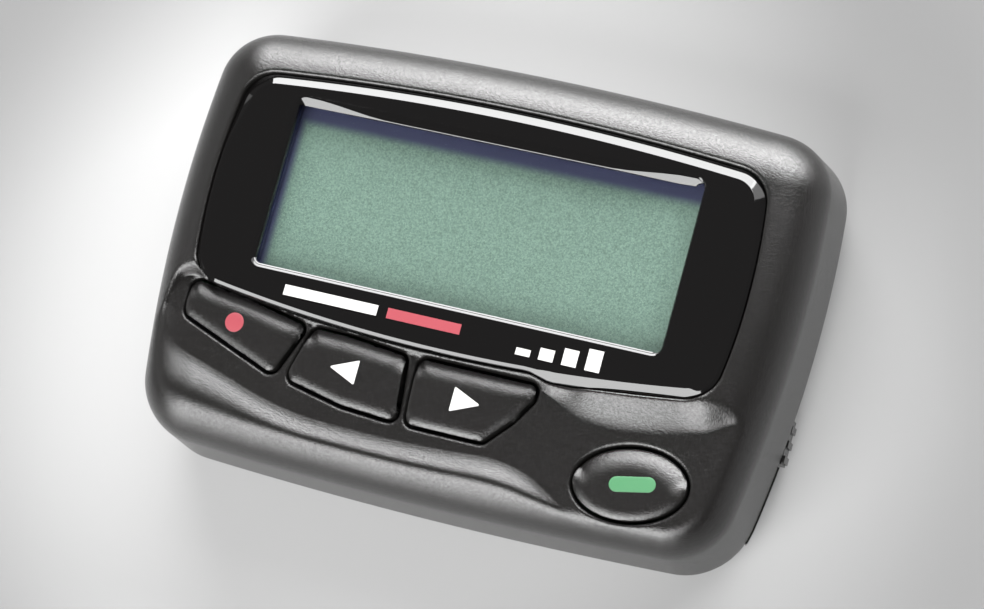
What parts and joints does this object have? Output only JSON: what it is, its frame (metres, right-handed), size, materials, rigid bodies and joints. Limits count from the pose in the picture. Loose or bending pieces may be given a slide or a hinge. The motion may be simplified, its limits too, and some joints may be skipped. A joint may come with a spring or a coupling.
{
  "type": "pager",
  "caption": "Pocket alphanumeric pager with a landscape display, arc of push keys, oval select key, sliding battery door and latch.",
  "frame": {"origin": "centre of the flat back face, which the pager rests on", "axes": "+X along the display's rows to the right, +Y up the display, +Z out of the display"},
  "size_m": [0.0762, 0.0522, 0.019],
  "materials": {
    "case_plastic": "fine spark-eroded satin, near black",
    "key_plastic": "fine satin, slightly lighter than the case",
    "border_plastic": "polished gloss black",
    "clear_pane": "clear moulded pane, polished",
    "white_print": "white screen print",
    "red_print": "rose red paint fill",
    "green_print": "green paint fill",
    "adhesive": "thin double-sided tape",
    "lcd_navy": "dark navy display frame",
    "polarizer": "grey-green display film",
    "lcd_glass": "thin polished glass",
    "light_guide": "frosted acrylic",
    "led_white": "moulded LED body",
    "elastomer": "striped conductive elastomer",
    "board_green": "green solder mask on glass-epoxy board",
    "black_epoxy": "moulded epoxy package",
    "tin_plate": "tin-plated steel",
    "nickel": "bright nickel plate",
    "brass_trim": "plain brass",
    "copper_strip": "bare copper strip",
    "chip_ceramic": "multilayer chip parts",
    "foam_grey": "closed-cell foam",
    "tungsten": "sintered tungsten alloy",
    "sleeve_print": "plain shrink sleeve",
    "label_paper": "blank paper label"
  },
  "bodies": {
    "case": {"front_case": "case_plastic", "rear_case": "case_plastic", "lens_border": "border_plastic", "window_pane": "clear_pane", "lens_adhesive": "adhesive", "border_mark": "white_print", "border_stripe": "red_print", "lcd_frame": "lcd_navy", "front_polarizer": "polarizer", "lcd_front_glass": "lcd_glass", "lcd_rear_glass": "lcd_glass", "rear_polarizer": "polarizer", "light_guide": "light_guide", "backlight_leds": "led_white", "zebra_strips": "elastomer", "main_board": "board_green", "rf_board": "board_green", "board_connector": "black_epoxy", "processor_ic": "black_epoxy", "memory_ic": "black_epoxy", "receiver_ic": "black_epoxy", "rf_shield": "tin_plate", "crystal_can": "nickel", "trimmer_capacitor": "brass_trim", "chip_parts": "chip_ceramic", "backup_cell": "nickel", "loop_antenna": "copper_strip", "buzzer": "black_epoxy", "buzzer_seal": "foam_grey", "dome_switches": "nickel", "key_membrane": "foam_grey", "motor_can": "nickel", "motor_boot": "foam_grey", "aaa_cell": "nickel", "cell_sleeve": "sleeve_print", "negative_spring": "nickel", "positive_contact": "nickel", "case_screws": "nickel", "board_screws": "nickel", "back_label": "label_paper"},
    "mute": {"mute_key": "key_plastic", "mute_dot": "red_print"},
    "left": {"left_key": "key_plastic", "left_arrow": "white_print"},
    "right": {"right_key": "key_plastic", "right_arrow": "white_print"},
    "select": {"select_key": "key_plastic", "select_dash": "green_print"},
    "rotor": {"motor_shaft": "nickel", "eccentric_weight": "tungsten"},
    "door": {"battery_door": "case_plastic", "door_pad": "foam_grey"},
    "latch": {"latch_slider": "key_plastic"}
  },
  "joints": [
    {"name": "mute_press", "type": "slide", "parent": "case", "child": "mute", "axis": [0, 0, -1], "range_m": [0, 0.0006], "stiffness_N_per_m": 1200, "springref_m": -0.0004},
    {"name": "left_press", "type": "slide", "parent": "case", "child": "left", "axis": [0, 0, -1], "range_m": [0, 0.0006], "stiffness_N_per_m": 1200, "springref_m": -0.0004},
    {"name": "right_press", "type": "slide", "parent": "case", "child": "right", "axis": [0, 0, -1], "range_m": [0, 0.0006], "stiffness_N_per_m": 1200, "springref_m": -0.0004},
    {"name": "select_press", "type": "slide", "parent": "case", "child": "select", "axis": [0, 0, -1], "range_m": [0, 0.0006], "stiffness_N_per_m": 1200, "springref_m": -0.0004},
    {"name": "motor_spin", "type": "hinge", "parent": "case", "child": "rotor", "pos_m": [-0.025, -0.019, 0.0066], "axis": [0, 1, 0], "continuous": true},
    {"name": "door_slide", "type": "slide", "parent": "case", "child": "door", "axis": [1, 0, 0], "range_m": [0, 0.05]},
    {"name": "latch_slide", "type": "slide", "parent": "case", "child": "latch", "axis": [0, 1, 0], "range_m": [0, 0.0025]}
  ]
}
